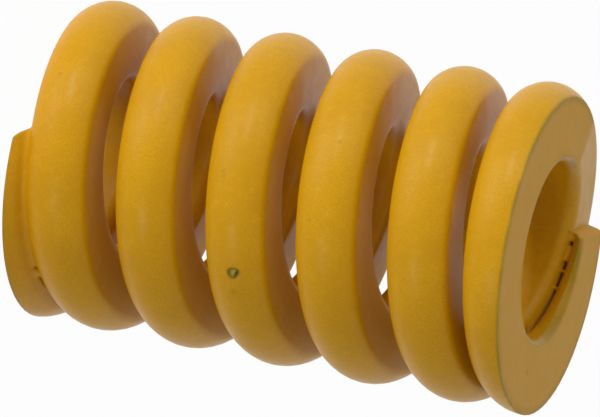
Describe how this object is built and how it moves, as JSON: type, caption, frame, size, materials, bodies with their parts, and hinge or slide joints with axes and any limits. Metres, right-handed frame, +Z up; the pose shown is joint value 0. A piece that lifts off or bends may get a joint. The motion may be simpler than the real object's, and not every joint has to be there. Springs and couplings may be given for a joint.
{
  "type": "die spring",
  "caption": "Heavy compression spring of shaped wire with closed, ground ends; seats on its flat ends and slides over a guide rod inside a round pocket.",
  "frame": {"origin": "centre of the bottom ground face, on the spring's axis", "axes": "+Z up along the spring's axis from the bottom ground face to the top one; the wire's bottom tip lies at about 263 degrees from +X towards +Y and the coil rises right-handed"},
  "size_m": [0.0156, 0.0156, 0.025],
  "materials": {
    "yellow_paint": "satin"
  },
  "bodies": {
    "root": {"spring": "yellow_paint"}
  },
  "joints": []
}
